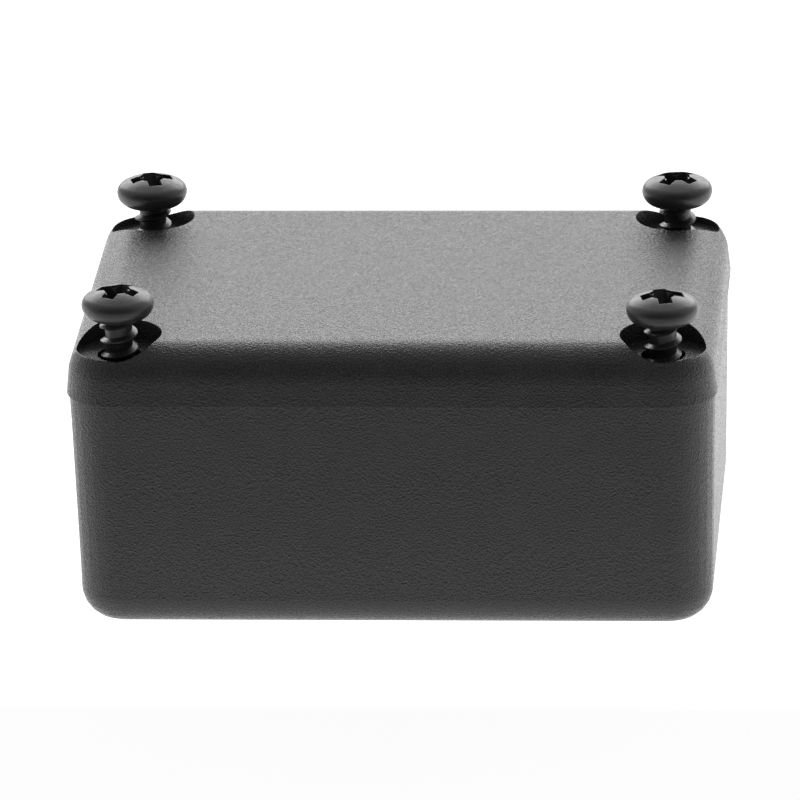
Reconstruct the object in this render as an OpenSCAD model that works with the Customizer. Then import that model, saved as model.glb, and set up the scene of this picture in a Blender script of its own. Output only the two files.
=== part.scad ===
// Small screw-lid project box: a moulded tray, a shallow lid and four self-tapping pan-head
// screws, part driven. Millimetres, +Z up, origin under the centre of the closed box.

/* [Box] */
// Length of the closed box, side to side
box_l = 50; // [42:0.5:120]
// Depth of the closed box, front to back
box_w = 35; // [30:0.5:100]
// Height of the closed box, without the screws
box_h = 23; // [19:0.5:60]
// Height of the lid above the parting line
lid_h = 4.5; // [4.2:0.1:7]
// Radius of the upright corners at the parting line
corner_r = 4; // [3.6:0.1:7]
// How far the lid stands out past the base all round
lid_overhang = 0.2; // [0.1:0.05:0.6]

/* [Walls] */
// Thickness of the base's side walls
wall = 2; // [1.4:0.1:2.2]
// Thickness of the base's floor
floor_t = 2; // [1.4:0.1:3]
// Thickness of the lid's top plate
lid_t = 2; // [1.8:0.1:2.6]
// Radius round the foot of the base
base_edge_r = 2.5; // [0.8:0.1:2.8]
// Radius round the top of the lid
lid_edge_r = 3; // [1:0.1:3.2]
// Radius along the inside corners of the base's floor and the lid's plate
inner_edge_r = 1; // [0.7:0.05:1.2]
// Draft angle of the base's walls, in degrees
base_draft = 1.3; // [0.5:0.1:1.8]
// Draft angle of the lid's outer sides, in degrees
lid_draft = 6; // [1:0.5:7]
// Draft angle of the lid's hollow, in degrees
lid_core_draft = 1.5; // [0.5:0.5:3]

/* [Locating lip] */
// How far the lid's lip reaches down into the base
lip_h = 1.5; // [0.8:0.1:3]
// Thickness of the lip
lip_t = 1; // [0.8:0.1:1.4]
// Clearance between the lip and the base's wall
lip_gap = 0.15; // [0.1:0.05:0.4]
// Clearance between the ends of the lip and the corner posts
lip_end_gap = 0.6; // [0.3:0.1:2]
// Lead-in chamfer on the lip's lower outside edge
lip_chamfer = 0.3; // [0.1:0.05:0.5]

/* [Corner posts] */
// Distance from the box's sides to each screw's axis
screw_inset = 4.15; // [4:0.05:6]
// Diameter of the base's posts
post_d = 6.4; // [5.4:0.1:8]
// Diameter of the lid's posts
lid_post_d = 8; // [7.2:0.1:10]
// Gap between each lid post and the post under it
post_gap = 0.2; // [0.1:0.05:0.6]
// Diameter of the round recess for each screw's head
recess_d = 6.6; // [6:0.1:7]
// Depth of the recess below the lid's top
recess_depth = 1.65; // [1:0.05:1.9]
// Diameter of the screw's clearance hole through the lid
lid_hole_d = 3.4; // [3.1:0.1:4]
// Chamfer round the mouth of each hole in the base's posts
post_chamfer = 0.35; // [0.1:0.05:0.8]
// Depth of the post's hole past the tip of a seated screw
hole_spare = 1; // [0.3:0.1:3]

/* [Board pillars] */
// Spacing of the board pillars, side to side
pillar_pitch_x = 28; // [20:0.5:29]
// Spacing of the board pillars, front to back
pillar_pitch_y = 18; // [14:0.5:19]
// Diameter of each pillar
pillar_d = 4; // [3:0.1:4.6]
// Height of the pillars above the floor
pillar_h = 3; // [2:0.25:6]
// Diameter of the pilot hole in each pillar
pillar_hole_d = 1.8; // [1.2:0.1:2.2]
// Depth of the pilot hole
pillar_hole_depth = 3.6; // [2:0.1:4]

/* [Screws] */
// Length of a screw under its head
screw_l = 9.5; // [8:0.5:12]
// Diameter over the thread
thread_d = 2.9; // [2.6:0.05:3]
// Diameter at the root of the thread
root_d = 2.1; // [1.8:0.05:2.3]
// Advance of the thread in one turn
thread_pitch = 1.2; // [1:0.05:1.4]
// Width of the thread's ridge at its root
ridge_w = 0.56; // [0.4:0.02:0.7]
// Width of the thread's crest
crest_w = 0.14; // [0.06:0.02:0.2]
// Radial clearance between the thread and the post's hole
thread_gap = 0.08; // [0.03:0.01:0.1]
// Diameter of the head
head_d = 5.55; // [5:0.05:5.7]
// Height of the head
head_h = 2.3; // [2.1:0.05:2.5]
// Radius of the domed top of the head
crown_r = 5.2; // [4.6:0.1:7]
// Radius that blends the dome into the side of the head
shoulder_r = 0.8; // [0.5:0.05:1]
// Span of the cross recess
cross_span = 3.55; // [3:0.05:3.7]
// Width of each slot of the cross
cross_w = 1.05; // [0.8:0.05:1.15]
// Diameter of the tapered hole in the middle of the cross
cross_core_d = 2; // [1.7:0.05:2.2]
// Depth of the cross
cross_depth = 1.6; // [1.2:0.05:1.7]
// Turns each screw is short of seated: front left, front right, back left, back right
turns_out = [2.55, 2.25, 2.3, 2.35]; // [0:0.05:4]
// Angle of each screw about its axis, in the same order, in degrees
screw_angle = [158, 193, 287, 144]; // [0:1:359]

/* [Hidden] */
$fn = 64;

// How far a cut runs past the face it opens
through = 1;
// Height of the parting line
base_h = box_h - lid_h;
// Outline of the base at the parting line, and its hollow there
base_l = box_l - 2 * lid_overhang;
base_w = box_w - 2 * lid_overhang;
base_r = corner_r - lid_overhang;
hollow_l = base_l - 2 * wall;
hollow_w = base_w - 2 * wall;
hollow_r = base_r - wall;
// Screw axes, and the height of the face each head seats on
screw_x = box_l / 2 - screw_inset;
screw_y = box_w / 2 - screw_inset;
seat_z = box_h - recess_depth;
// How far posts and pillars are rooted in the floor, and the hole in each post
post_root = 0.5;
post_hole_d = thread_d + 2 * thread_gap;
post_hole_z = seat_z - screw_l - hole_spare;
// Half-lengths of the lip along the long and the short sides
lip_x = screw_x - post_d / 2 - lip_end_gap;
lip_y = screw_y - post_d / 2 - lip_end_gap;
// Steps along each arc of the head's section
arc_steps = 8;
// Thread: steps in a turn, length of the pointed tip, and the run-out under the head
thread_steps = 24;
point_l = 1.8;
point_r = 0.12;
runout_l = 0.35;
runout_end = 0.25;
neck_l = 0.5;
neck_d = root_d + 0.1;
// Slope of the cross's slots at their ends, and depth of its pointed middle
wing_angle = 26.5;
core_tip = 0.3;
moulded = [0.14, 0.14, 0.145];
plated = [0.1, 0.1, 0.11];

// ---- moulded forms ----

// Section of a drafted side standing on a rounded edge, measured outwards from a corner axis.
// It is r_top wide at height h.
module side_section(r_top, h, draft, edge_r) {
    lean = tan(draft);
    arc_x = r_top - (h - edge_r) * lean - edge_r / cos(draft);
    tangent = [arc_x + edge_r * cos(draft), edge_r - edge_r * sin(draft)];
    polygon([[0, 0], [arc_x, 0], [arc_x, edge_r], tangent, [r_top, h], [0, h]]);
    translate([arc_x, edge_r])
        intersection() {
            circle(r = edge_r);
            polygon([[0, 0], [0, -2 * edge_r], [2 * edge_r, -2 * edge_r],
                     [2 * edge_r * cos(draft), -2 * edge_r * sin(draft)]]);
        }
}

// Block with upright rounded corners, drafted sides and a rounded bottom edge. Its outline
// l by w, with corners of radius r, is at its top, at height h.
module drafted_block(l, w, h, r, draft, edge_r) {
    run_x = l / 2 - r;
    run_y = w / 2 - r;
    translate([-run_x, -run_y, 0]) cube([2 * run_x, 2 * run_y, h]);
    for (side = [0:3]) {
        out = side % 2 == 0 ? run_x : run_y;
        along = side % 2 == 0 ? run_y : run_x;
        rotate(90 * side)
            translate([out, along, 0]) {
                rotate([90, 0, 0]) linear_extrude(2 * along) side_section(r, h, draft, edge_r);
                rotate_extrude(angle = 90) side_section(r, h, draft, edge_r);
            }
    }
}

// The same block as a cutter that also clears the space just above its outline
module drafted_hollow(l, w, h, r, draft, edge_r) {
    grow = through * tan(draft);
    drafted_block(l + 2 * grow, w + 2 * grow, h + through, r + grow, draft, edge_r);
}

// Children at the four screw axes, or at any rectangle of four places
module at_corners(x, y) {
    for (sx = [-1, 1], sy = [-1, 1])
        translate([sx * x, sy * y, 0]) children();
}

// ---- base ----

// Blind hole with a chamfered mouth, down from z = 0
module blind_hole(d, depth, chamfer) {
    translate([0, 0, -depth]) cylinder(d = d, h = depth + through);
    translate([0, 0, -chamfer]) cylinder(r1 = d / 2, r2 = d / 2 + chamfer + through, h = chamfer + through);
}

module base() {
    color(moulded)
        difference() {
            union() {
                difference() {
                    drafted_block(base_l, base_w, base_h, base_r, base_draft, base_edge_r);
                    translate([0, 0, floor_t])
                        drafted_hollow(hollow_l, hollow_w, base_h - floor_t, hollow_r, base_draft, inner_edge_r);
                }
                at_corners(screw_x, screw_y)
                    translate([0, 0, floor_t - post_root]) cylinder(d = post_d, h = base_h - floor_t + post_root);
                at_corners(pillar_pitch_x / 2, pillar_pitch_y / 2)
                    translate([0, 0, floor_t - post_root]) cylinder(d = pillar_d, h = pillar_h + post_root);
            }
            at_corners(screw_x, screw_y)
                translate([0, 0, base_h]) blind_hole(post_hole_d, base_h - post_hole_z, post_chamfer);
            at_corners(pillar_pitch_x / 2, pillar_pitch_y / 2)
                translate([0, 0, floor_t + pillar_h - pillar_hole_depth])
                    cylinder(d = pillar_hole_d, h = pillar_hole_depth + through);
        }
}

// ---- lid ----

// Children on the four sides, each turned so that its outside faces +X, at the hollow's wall
module at_walls() {
    for (side = [0:3])
        rotate(90 * side)
            translate([side % 2 == 0 ? hollow_l / 2 : hollow_w / 2, 0, 0]) children(side % 2);
}

// Root of the lip, as thick as the lip and its clearance, inside the lid's wall
module lip_root(half_l) {
    translate([-lip_gap - lip_t, -half_l, base_h - 2 * through])
        cube([lip_gap + lip_t + wall / 2, 2 * half_l, lid_h + through]);
}

// Lip below the parting line, with a lead-in chamfer on its outside
module lip(half_l) {
    translate([-lip_gap - lip_t, half_l, base_h - lip_h])
        rotate([90, 0, 0])
            linear_extrude(2 * half_l)
                polygon([[0, 0], [lip_t - lip_chamfer, 0], [lip_t, lip_chamfer],
                         [lip_t, lip_h + lip_t], [0, lip_h + lip_t]]);
}

// Hollow under the lid, less the posts and the lip's roots
module lid_hollow() {
    difference() {
        translate([0, 0, box_h - lid_t])
            mirror([0, 0, 1])
                drafted_hollow(hollow_l, hollow_w, lid_h - lid_t, hollow_r, lid_core_draft, inner_edge_r);
        at_corners(screw_x, screw_y)
            translate([0, 0, base_h + post_gap]) cylinder(d = lid_post_d, h = lid_h);
        at_walls() {
            lip_root(lip_y);
            lip_root(lip_x);
        }
    }
}

module lid() {
    color(moulded)
        difference() {
            union() {
                difference() {
                    translate([0, 0, box_h])
                        mirror([0, 0, 1])
                            drafted_block(box_l, box_w, lid_h, corner_r, lid_draft, lid_edge_r);
                    lid_hollow();
                }
                at_walls() {
                    lip(lip_y);
                    lip(lip_x);
                }
            }
            at_corners(screw_x, screw_y) {
                translate([0, 0, seat_z]) cylinder(d = recess_d, h = recess_depth + through);
                translate([0, 0, base_h - through]) cylinder(d = lid_hole_d, h = lid_h);
            }
        }
}

// ---- screws ----

function clamp01(t) = min(1, max(0, t));

// Radius at height z of a line that lies r from the axis up the shank, drawn in to the point
function pointed(r, z) = point_r + (r - point_r) * clamp01(z / point_l);

// Radius of the crest at height z: full over the shank, and down to the root under the head
function crest_r(z) =
    root_d / 2 + (thread_d - root_d) / 2 * clamp01((screw_l - runout_end - z) / runout_l);

// One section of the ridge, from its lower root over the crest to its upper root
function ridge(z) = [
    for (p = [[0, -ridge_w / 2], [1, -crest_w / 2], [1, crest_w / 2], [0, ridge_w / 2]])
        let (h = z + p[1])
        [pointed(p[0] == 1 ? crest_r(h) : root_d / 2, h), h]
];

// Threaded shank with its point at z = 0: the ridge climbs a right-hand helix, and a strip
// joins each turn to the next
module threaded_shank() {
    first_z = ridge_w / 2;
    climb = screw_l - neck_l + thread_pitch - ridge_w;
    steps = ceil(climb / thread_pitch * thread_steps) + 1;
    points = [
        for (i = [0:steps], p = ridge(first_z + thread_pitch * i / thread_steps))
            let (a = 360 * i / thread_steps)
            [p[0] * cos(a), p[0] * sin(a), p[1]]
    ];
    foot = len(points);
    top = foot + 1;
    foot_loop = concat([for (i = [0:thread_steps]) 4 * i], [3, 2, 1]);
    top_loop = concat([for (i = [steps - thread_steps:steps]) 4 * i + 3],
                      [for (j = [2, 1, 0]) 4 * steps + j]);
    flanks = [
        for (i = [0:steps - 1], j = [0:2], half = [0, 1])
            let (p = 4 * i + j)
            half == 0 ? [p, p + 1, p + 5] : [p, p + 5, p + 4]
    ];
    lands = [
        for (i = [0:steps - thread_steps - 1], half = [0, 1])
            let (p = 4 * i + 3, q = 4 * (i + thread_steps))
            half == 0 ? [p, q, q + 4] : [p, q + 4, p + 4]
    ];
    foot_cap = [for (k = [0:len(foot_loop) - 1])
        [foot, foot_loop[k], foot_loop[(k + 1) % len(foot_loop)]]];
    top_cap = [for (k = [0:len(top_loop) - 1])
        [top, top_loop[(k + 1) % len(top_loop)], top_loop[k]]];
    polyhedron(concat(points, [[0, 0, 0], [0, 0, screw_l]]),
               concat(flanks, lands, foot_cap, top_cap), convexity = 8);
}

// Points along an arc, without its first point
function arc(centre, r, from, to) = [
    for (i = [1:arc_steps])
        let (a = from + (to - from) * i / arc_steps)
        centre + r * [cos(a), sin(a)]
];

// Half-section of the pan head, seated at z = 0: a quarter-round underside that rises to the
// widest line, a shoulder, and a dome that the shoulder runs smoothly into
module head_section() {
    blend_x = head_d / 2 - shoulder_r;
    reach = crown_r - shoulder_r;
    dome_z = head_h - crown_r;
    widest_z = dome_z + sqrt(reach * reach - blend_x * blend_x);
    under_x = head_d / 2 - widest_z;
    blend_angle = acos(blend_x / reach);
    polygon(concat(
        [[0, 0], [under_x, 0]],
        arc([under_x, widest_z], widest_z, -90, 0),
        arc([blend_x, widest_z], shoulder_r, 0, blend_angle),
        arc([0, dome_z], crown_r, blend_angle, 90)));
}

// Cross recess, cut down from the top of the head
module cross_recess() {
    mouth = cross_span / 2;
    toe = mouth - cross_depth * tan(wing_angle);
    floor_z = head_h - cross_depth;
    grow = through * tan(wing_angle);
    for (slot = [0, 90])
        rotate([90, 0, slot])
            translate([0, 0, -cross_w / 2])
                linear_extrude(cross_w)
                    polygon([[-toe, floor_z], [toe, floor_z],
                             [mouth + grow, head_h + through], [-mouth - grow, head_h + through]]);
    translate([0, 0, floor_z - core_tip])
        cylinder(r1 = core_tip / 2, d2 = cross_core_d, h = cross_depth + core_tip);
    translate([0, 0, head_h - core_tip]) cylinder(d = cross_core_d, h = through);
}

// One screw, its point at z = 0
module pan_head_screw() {
    difference() {
        union() {
            threaded_shank();
            translate([0, 0, screw_l - neck_l]) cylinder(d = neck_d, h = neck_l + head_h / 4);
            translate([0, 0, screw_l]) rotate_extrude() head_section();
        }
        translate([0, 0, screw_l]) cross_recess();
    }
}

// Screw i at its corner, short of its seat by its own number of turns
module placed_screw(i) {
    side = [[-1, -1], [1, -1], [-1, 1], [1, 1]][i];
    color(plated)
        translate([side[0] * screw_x, side[1] * screw_y, seat_z - screw_l + turns_out[i] * thread_pitch])
            rotate(screw_angle[i]) pan_head_screw();
}

module screw_front_left() { placed_screw(0); }
module screw_front_right() { placed_screw(1); }
module screw_back_left() { placed_screw(2); }
module screw_back_right() { placed_screw(3); }

base();
lid();
screw_front_left();
screw_front_right();
screw_back_left();
screw_back_right();
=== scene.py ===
"""Small black project box: grained moulded tray and lid, four black pan-head screws part driven."""
import math

import bmesh
import bpy
from mathutils import Matrix, Vector

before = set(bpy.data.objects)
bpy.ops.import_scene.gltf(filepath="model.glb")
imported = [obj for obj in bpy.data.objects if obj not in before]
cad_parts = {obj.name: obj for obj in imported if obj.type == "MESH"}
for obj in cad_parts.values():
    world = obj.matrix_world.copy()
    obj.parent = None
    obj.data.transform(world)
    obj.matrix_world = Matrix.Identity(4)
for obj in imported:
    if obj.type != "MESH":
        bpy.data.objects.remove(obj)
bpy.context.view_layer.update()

MM = 0.001
MOULDINGS = ["base", "lid"]
SCREWS = ["screw_front_left", "screw_front_right", "screw_back_left", "screw_back_right"]

# Camera, as a product photographer sets it: long lens, a little above and to the right
CAMERA_TARGET = Vector((-0.48, 0, 12.52)) * MM
CAMERA_DISTANCE = 680.7 * MM
CAMERA_RISE = math.radians(20.78)
CAMERA_SWING = math.radians(4.69)
CAMERA_ROLL = math.radians(1.58)
CAMERA_LENS = 391.3

# Light of the room from behind the camera (0) over the top (0.5) to behind the box (1)
ROOM_LEVELS = [(0.1, 0.05), (0.25, 0.17), (0.5, 0.6), (0.85, 0.75), (1.0, 1.0)]
# Softbox behind the box: its place, aim and size in metres, and its power in watts
SOFTBOX_PLACE = (0, 1.2, 0.62)
SOFTBOX_AIM = (0, 0, 0.02)
SOFTBOX_SIZE = (2.2, 0.9)
SOFTBOX_POWER = 16

# White floor: half its side in metres, its colour and roughness, and how far it glows by itself
FLOOR_HALF = 3.0
FLOOR_COLOUR = (0.9, 0.9, 0.9, 1)
FLOOR_ROUGHNESS = 0.9
FLOOR_GLOW = 0.95
# Brightness that the floor shows in reflections, from a reach before the box (0) to behind it (1)
FLOOR_REACH = 0.12
FLOOR_LEVELS = [(0.0, 0.5), (0.32, 0.68), (0.41, 1.35), (0.6, 1.5)]

# Moulded plastic: colour, and its grain in cells a millimetre and millimetres deep
PLASTIC_COLOUR = (0.034, 0.034, 0.0345, 1)
PLASTIC_IOR = 1.5
GRAIN_SCALE = 6.5
GRAIN_DEPTH = 0.1
TONE_SCALE = 0.35
# Radius that light finds along the edges, in millimetres
PLASTIC_EDGE = 0.12
SCREW_EDGE = 0.06

# Black plated steel: colour, and its wear, ripple and pitting in cells a millimetre
PLATE_COLOUR = (0.03, 0.03, 0.031, 1)
PLATE_IOR = 1.6
WEAR_SCALE = 1.6
RIPPLE_SCALE = 2.2
RIPPLE_DEPTH = 0.01
PIT_SCALE = 12.0
PIT_DEPTH = 0.006

WHITE = (1, 1, 1, 1)


def camera():
    """Long-lens camera, turned round its own axis by the roll."""
    rise, swing, roll = CAMERA_RISE, CAMERA_SWING, CAMERA_ROLL
    back = Vector((math.sin(swing) * math.cos(rise), -math.cos(swing) * math.cos(rise), math.sin(rise)))
    right = Vector((math.cos(swing), math.sin(swing), 0))
    up = back.cross(right)
    turned_right = math.cos(roll) * right - math.sin(roll) * up
    turned_up = math.sin(roll) * right + math.cos(roll) * up
    data = bpy.data.cameras.new("camera")
    data.lens = CAMERA_LENS
    data.clip_start = 0.01
    data.clip_end = 20
    obj = bpy.data.objects.new("camera", data)
    bpy.context.scene.collection.objects.link(obj)
    turn = Matrix((turned_right, turned_up, back)).transposed().to_4x4()
    obj.matrix_world = Matrix.Translation(CAMERA_TARGET + CAMERA_DISTANCE * back) @ turn
    bpy.context.scene.camera = obj


# ---- node helpers ----

def new_material(name):
    """An empty node material, its tree and its Principled shader."""
    mat = bpy.data.materials.new(name)
    mat.use_nodes = True
    tree = mat.node_tree
    return mat, tree, tree.nodes["Principled BSDF"]


def add(tree, kind, **settings):
    """A node with its properties and its sockets' values set."""
    node = tree.nodes.new(kind)
    for key, value in settings.items():
        if hasattr(node, key):
            setattr(node, key, value)
        else:
            node.inputs[key.replace("_", " ")].default_value = value
    return node


def noise(tree, place, scale, detail=2.0, roughness=0.5):
    """Noise texture at a scale in cells a millimetre."""
    node = add(tree, "ShaderNodeTexNoise", Scale=scale / MM, Detail=detail, Roughness=roughness)
    tree.links.new(place, node.inputs["Vector"])
    return node.outputs["Fac"]


def spread(tree, value, low, high, start=0.0, end=1.0):
    """Value mapped from start..end to low..high."""
    node = add(tree, "ShaderNodeMapRange", From_Min=start, From_Max=end, To_Min=low, To_Max=high)
    tree.links.new(value, node.inputs["Value"])
    return node.outputs["Result"]


def ramp(tree, value, stops):
    """Grey levels at their stops, and straight between them."""
    node = add(tree, "ShaderNodeValToRGB")
    bar = node.color_ramp.elements
    while len(bar) < len(stops):
        bar.new(0.5)
    for element, (at, level) in zip(bar, stops):
        element.position = at
        element.color = (level, level, level, 1)
    tree.links.new(value, node.inputs[0])
    return node.outputs["Color"]


def along_y(tree, place, reach):
    """0 to 1 from -reach to reach along a place's Y."""
    parts = add(tree, "ShaderNodeSeparateXYZ")
    tree.links.new(place, parts.inputs[0])
    return spread(tree, parts.outputs["Y"], 0, 1, -reach, reach)


def larger(tree, first, second):
    """The larger of two values."""
    node = add(tree, "ShaderNodeMath", operation="MAXIMUM")
    tree.links.new(first, node.inputs[0])
    tree.links.new(second, node.inputs[1])
    return node.outputs[0]


def either(tree, share, first, second, output):
    """The first shader, or by its share the second, on the surface of an output."""
    node = add(tree, "ShaderNodeMixShader")
    tree.links.new(share, node.inputs[0])
    tree.links.new(first.outputs[0], node.inputs[1])
    tree.links.new(second.outputs[0], node.inputs[2])
    tree.links.new(node.outputs[0], tree.nodes[output].inputs["Surface"])


def bump(tree, height, depth_mm, under):
    """Bump of a depth in millimetres, over the normals under it."""
    node = add(tree, "ShaderNodeBump", Distance=depth_mm * MM)
    tree.links.new(height, node.inputs["Height"])
    tree.links.new(under, node.inputs["Normal"])
    return node.outputs["Normal"]


def soft_edges(tree, radius_mm):
    """Normals that turn over a small radius at the edges."""
    return add(tree, "ShaderNodeBevel", samples=6, Radius=radius_mm * MM).outputs["Normal"]


# ---- materials ----

def grained_plastic():
    """Black moulded plastic with a fine spark-eroded grain, duller in the grain's pits."""
    mat, tree, shader = new_material("grained_black_plastic")
    place = add(tree, "ShaderNodeTexCoord").outputs["Object"]
    fine = noise(tree, place, GRAIN_SCALE, 2.0, 0.55)
    tone = spread(tree, noise(tree, place, TONE_SCALE), 0.85, 1.15, 0.3, 0.7)
    colour = add(tree, "ShaderNodeMix", data_type="RGBA", blend_type="MULTIPLY")
    colour.inputs["Factor"].default_value = 1.0
    colour.inputs["A"].default_value = PLASTIC_COLOUR
    tree.links.new(tone, colour.inputs["B"])
    tree.links.new(colour.outputs["Result"], shader.inputs["Base Color"])
    tree.links.new(spread(tree, fine, 0.5, 0.14, 0.32, 0.6), shader.inputs["Roughness"])
    tree.links.new(bump(tree, fine, GRAIN_DEPTH, soft_edges(tree, PLASTIC_EDGE)), shader.inputs["Normal"])
    shader.inputs["IOR"].default_value = PLASTIC_IOR
    return mat


def black_plate():
    """Satin black plated steel, slightly rippled and pitted."""
    mat, tree, shader = new_material("black_plated_steel")
    place = add(tree, "ShaderNodeTexCoord").outputs["Object"]
    shader.inputs["Base Color"].default_value = PLATE_COLOUR
    shader.inputs["IOR"].default_value = PLATE_IOR
    wear = noise(tree, place, WEAR_SCALE, 3.0)
    tree.links.new(spread(tree, wear, 0.26, 0.42, 0.3, 0.7), shader.inputs["Roughness"])
    ripple = bump(tree, noise(tree, place, RIPPLE_SCALE), RIPPLE_DEPTH, soft_edges(tree, SCREW_EDGE))
    tree.links.new(bump(tree, noise(tree, place, PIT_SCALE), PIT_DEPTH, ripple), shader.inputs["Normal"])
    return mat


def paint(obj, mat):
    """The one material of a piece."""
    obj.data.materials.clear()
    obj.data.materials.append(mat)


def finish_nodes(names, mat):
    """The material of some nodes."""
    for name in names:
        paint(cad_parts[name], mat)


# ---- studio ----

def studio_world():
    """White background; the light comes from a pale room that darkens behind the camera."""
    world = bpy.data.worlds.new("studio")
    world.use_nodes = True
    tree = world.node_tree
    towards = add(tree, "ShaderNodeTexCoord").outputs["Generated"]
    room = tree.nodes["Background"]
    tree.links.new(ramp(tree, along_y(tree, towards, 1), ROOM_LEVELS), room.inputs["Color"])
    seen = add(tree, "ShaderNodeBackground", Color=WHITE, Strength=1.0)
    path = add(tree, "ShaderNodeLightPath")
    either(tree, path.outputs["Is Camera Ray"], room, seen, "World Output")
    bpy.context.scene.world = world


def floor_material():
    """Matt white that glows by itself where it is seen or mirrored, and still takes a faint shadow."""
    mat, tree, shader = new_material("white_floor")
    mat.cycles.emission_sampling = "NONE"
    shader.inputs["Base Color"].default_value = FLOOR_COLOUR
    shader.inputs["Roughness"].default_value = FLOOR_ROUGHNESS
    place = add(tree, "ShaderNodeTexCoord").outputs["Object"]
    mirrored = ramp(tree, along_y(tree, place, FLOOR_REACH), FLOOR_LEVELS)
    path = add(tree, "ShaderNodeLightPath")
    glow = add(tree, "ShaderNodeEmission", Color=WHITE)
    tree.links.new(larger(tree, path.outputs["Is Camera Ray"], mirrored), glow.inputs["Strength"])
    mirror = larger(tree, path.outputs["Is Glossy Ray"], path.outputs["Is Transmission Ray"])
    shown = larger(tree, path.outputs["Is Camera Ray"], mirror)
    either(tree, spread(tree, shown, 0, FLOOR_GLOW), shader, glow, "Material Output")
    return mat


def studio_floor():
    """White floor, a little brighter in reflections behind the box than before it."""
    mesh = bpy.data.meshes.new("floor")
    bm = bmesh.new()
    bmesh.ops.create_grid(bm, x_segments=1, y_segments=1, size=FLOOR_HALF)
    bm.to_mesh(mesh)
    bm.free()
    floor = bpy.data.objects.new("floor", mesh)
    bpy.context.scene.collection.objects.link(floor)
    paint(floor, floor_material())


def softbox():
    """Soft area light behind the box, turned to its aim."""
    data = bpy.data.lights.new("back_light", "AREA")
    data.shape = "RECTANGLE"
    data.size, data.size_y = SOFTBOX_SIZE
    data.energy = SOFTBOX_POWER
    lamp = bpy.data.objects.new("back_light", data)
    bpy.context.scene.collection.objects.link(lamp)
    lamp.location = SOFTBOX_PLACE
    lamp.rotation_euler = (Vector(SOFTBOX_AIM) - Vector(SOFTBOX_PLACE)).to_track_quat("-Z", "Y").to_euler()


camera()
studio_world()
studio_floor()
softbox()

finish_nodes(MOULDINGS, grained_plastic())
finish_nodes(SCREWS, black_plate())

scene = bpy.context.scene
scene.view_settings.view_transform = "Standard"
